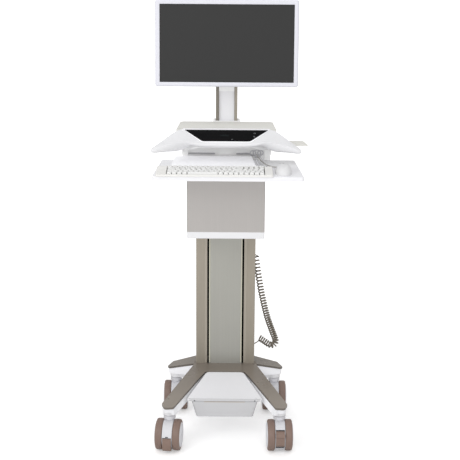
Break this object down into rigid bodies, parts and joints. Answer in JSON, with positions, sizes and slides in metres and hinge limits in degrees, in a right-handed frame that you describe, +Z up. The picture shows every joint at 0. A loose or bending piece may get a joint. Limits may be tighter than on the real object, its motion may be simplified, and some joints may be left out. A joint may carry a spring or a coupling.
{
  "type": "workstation cart",
  "caption": "Mobile ward cart: casters and four-leg base, slotted lift column, head with worksurface, keyboard tray, computer box and tilting monitor on a post.",
  "frame": {"origin": "on the floor under the middle of the cart's bounding box", "axes": "+Z up, -Y towards the user standing at the keyboard, +X to the user's right"},
  "size_m": [0.5932, 0.577, 1.754],
  "materials": {
    "frame_steel": "satin",
    "zinc_steel": "satin",
    "white_moulding": "fine texture",
    "pale_moulding": "fine texture",
    "tub_moulding": "fine texture",
    "taupe_moulding": "satin",
    "champagne_aluminium": "anodised satin",
    "column_aluminium": "anodised satin",
    "dark_moulding": "matt",
    "cord_jacket": "satin",
    "surface_laminate": "satin",
    "panel_glass": "gloss",
    "grey_enamel": "satin",
    "brushed_enamel": "brushed",
    "white_cable": "satin",
    "tray_moulding": "satin",
    "keyboard_plastic": "matt",
    "key_plastic": "matt",
    "mouse_plastic": "satin",
    "dark_rubber": "matt",
    "monitor_plastic": "satin",
    "screen_glass": "anti-glare",
    "caster_tread": "satin",
    "caster_tread_hard": "satin"
  },
  "bodies": {
    "base": {"base_frame": "frame_steel", "base_shell": "white_moulding", "base_cover": "taupe_moulding", "battery_lid": "pale_moulding", "lid_screws": "zinc_steel", "caster_sockets": "white_moulding", "column_sides": "champagne_aluminium", "column_panel": "column_aluminium", "column_back": "column_aluminium", "column_cap": "taupe_moulding", "spring_drums": "frame_steel", "power_module": "dark_moulding", "power_cord": "cord_jacket"},
    "head": {"lift_carriage": "frame_steel", "spring_strips": "zinc_steel", "worksurface": "surface_laminate", "head_shell": "white_moulding", "touch_panel": "panel_glass", "side_housing": "grey_enamel", "computer_box": "brushed_enamel", "box_trim": "white_moulding", "thin_client": "dark_moulding", "post_rails": "champagne_aluminium", "post_cover": "pale_moulding", "post_foot": "grey_enamel", "tray_rails": "zinc_steel", "cable_bundle": "white_cable", "shelf_runners": "grey_enamel"},
    "keyboard_drawer": {"keyboard_tray": "tray_moulding", "tray_riser": "tray_moulding", "keyboard_case": "keyboard_plastic", "keyboard_keys": "key_plastic", "tray_cables": "white_cable", "mouse_shell": "mouse_plastic"},
    "mouse_left_key": {"mouse_button_left": "mouse_plastic"},
    "mouse_right_key": {"mouse_button_right": "mouse_plastic"},
    "mouse_scroll_wheel": {"mouse_wheel": "dark_rubber"},
    "shelf": {"side_shelf": "surface_laminate"},
    "battery_drawer": {"battery_tub": "tub_moulding", "battery_pack": "dark_moulding"},
    "slider": {"monitor_slider": "grey_enamel"},
    "pan_head": {"pan_bracket": "frame_steel"},
    "monitor": {"vesa_plate": "frame_steel", "monitor_back": "monitor_plastic", "monitor_bezel": "monitor_plastic", "monitor_screen": "screen_glass"},
    "caster_front_left": {"caster_fork_front_left": "white_moulding"},
    "wheels_front_left": {"caster_tyres_front_left": "caster_tread", "caster_hubs_front_left": "pale_moulding"},
    "brake_front_left": {"brake_pedal_front_left": "caster_tread_hard"},
    "caster_front_right": {"caster_fork_front_right": "white_moulding"},
    "wheels_front_right": {"caster_tyres_front_right": "caster_tread", "caster_hubs_front_right": "pale_moulding"},
    "brake_front_right": {"brake_pedal_front_right": "caster_tread_hard"},
    "caster_rear_left": {"caster_fork_rear_left": "white_moulding"},
    "wheels_rear_left": {"caster_tyres_rear_left": "caster_tread", "caster_hubs_rear_left": "pale_moulding"},
    "caster_rear_right": {"caster_fork_rear_right": "white_moulding"},
    "wheels_rear_right": {"caster_tyres_rear_right": "caster_tread", "caster_hubs_rear_right": "pale_moulding"}
  },
  "joints": [
    {"name": "lift", "type": "slide", "parent": "base", "child": "head", "axis": [0, 0, 1], "range_m": [-0.45, 0.02]},
    {"name": "keyboard_slide", "type": "slide", "parent": "head", "child": "keyboard_drawer", "axis": [0, -1, 0], "range_m": [-0.06, 0.08]},
    {"name": "mouse_left_click", "type": "slide", "parent": "keyboard_drawer", "child": "mouse_left_key", "axis": [0, 0, -1], "range_m": [0, 0.001]},
    {"name": "mouse_right_click", "type": "slide", "parent": "keyboard_drawer", "child": "mouse_right_key", "axis": [0, 0, -1], "range_m": [0, 0.001]},
    {"name": "mouse_scroll", "type": "hinge", "parent": "keyboard_drawer", "child": "mouse_scroll_wheel", "pos_m": [0.19791, -0.1875, 1.161], "axis": [1, 0, 0], "continuous": true},
    {"name": "shelf_slide", "type": "slide", "parent": "head", "child": "shelf", "axis": [1, 0, 0], "range_m": [-0.11, 0.03]},
    {"name": "battery_slide", "type": "slide", "parent": "base", "child": "battery_drawer", "axis": [0, -1, 0], "range_m": [0, 0.16]},
    {"name": "monitor_height", "type": "slide", "parent": "head", "child": "slider", "axis": [0, 0, 1], "range_m": [-0.1, 0.04]},
    {"name": "monitor_pan", "type": "hinge", "parent": "slider", "child": "pan_head", "pos_m": [-0.01659, 0.0955, 1.5845], "axis": [0, 0, 1], "range_deg": [-20, 20]},
    {"name": "monitor_tilt", "type": "hinge", "parent": "pan_head", "child": "monitor", "pos_m": [-0.01659, 0.0795, 1.5845], "axis": [1, 0, 0], "range_deg": [-8, 12]},
    {"name": "swivel_front_left", "type": "hinge", "parent": "base", "child": "caster_front_left", "pos_m": [-0.23559, -0.1605, 0.15], "axis": [0, 0, 1], "continuous": true},
    {"name": "roll_front_left", "type": "hinge", "parent": "caster_front_left", "child": "wheels_front_left", "pos_m": [-0.23785, -0.18037, 0.0625], "axis": [0.9936, -0.1132, 0], "continuous": true},
    {"name": "brake_front_left", "type": "hinge", "parent": "caster_front_left", "child": "brake_front_left", "pos_m": [-0.24148, -0.21217, 0.05], "axis": [0.9936, -0.1132, 0], "range_deg": [0, 10]},
    {"name": "swivel_front_right", "type": "hinge", "parent": "base", "child": "caster_front_right", "pos_m": [0.20241, -0.1605, 0.15], "axis": [0, 0, 1], "continuous": true},
    {"name": "roll_front_right", "type": "hinge", "parent": "caster_front_right", "child": "wheels_front_right", "pos_m": [0.20311, -0.18049, 0.0625], "axis": [0.9994, 0.0349, 0], "continuous": true},
    {"name": "brake_front_right", "type": "hinge", "parent": "caster_front_right", "child": "brake_front_right", "pos_m": [0.20422, -0.21247, 0.076], "axis": [0.9994, 0.0349, 0], "range_deg": [0, 12]},
    {"name": "swivel_rear_left", "type": "hinge", "parent": "base", "child": "caster_rear_left", "pos_m": [-0.22659, 0.2365, 0.15], "axis": [0, 0, 1], "continuous": true},
    {"name": "roll_rear_left", "type": "hinge", "parent": "caster_rear_left", "child": "wheels_rear_left", "pos_m": [-0.22659, 0.2165, 0.0625], "axis": [1, 0, 0], "continuous": true},
    {"name": "swivel_rear_right", "type": "hinge", "parent": "base", "child": "caster_rear_right", "pos_m": [0.19341, 0.2365, 0.15], "axis": [0, 0, 1], "continuous": true},
    {"name": "roll_rear_right", "type": "hinge", "parent": "caster_rear_right", "child": "wheels_rear_right", "pos_m": [0.19341, 0.2165, 0.0625], "axis": [1, 0, 0], "continuous": true}
  ]
}
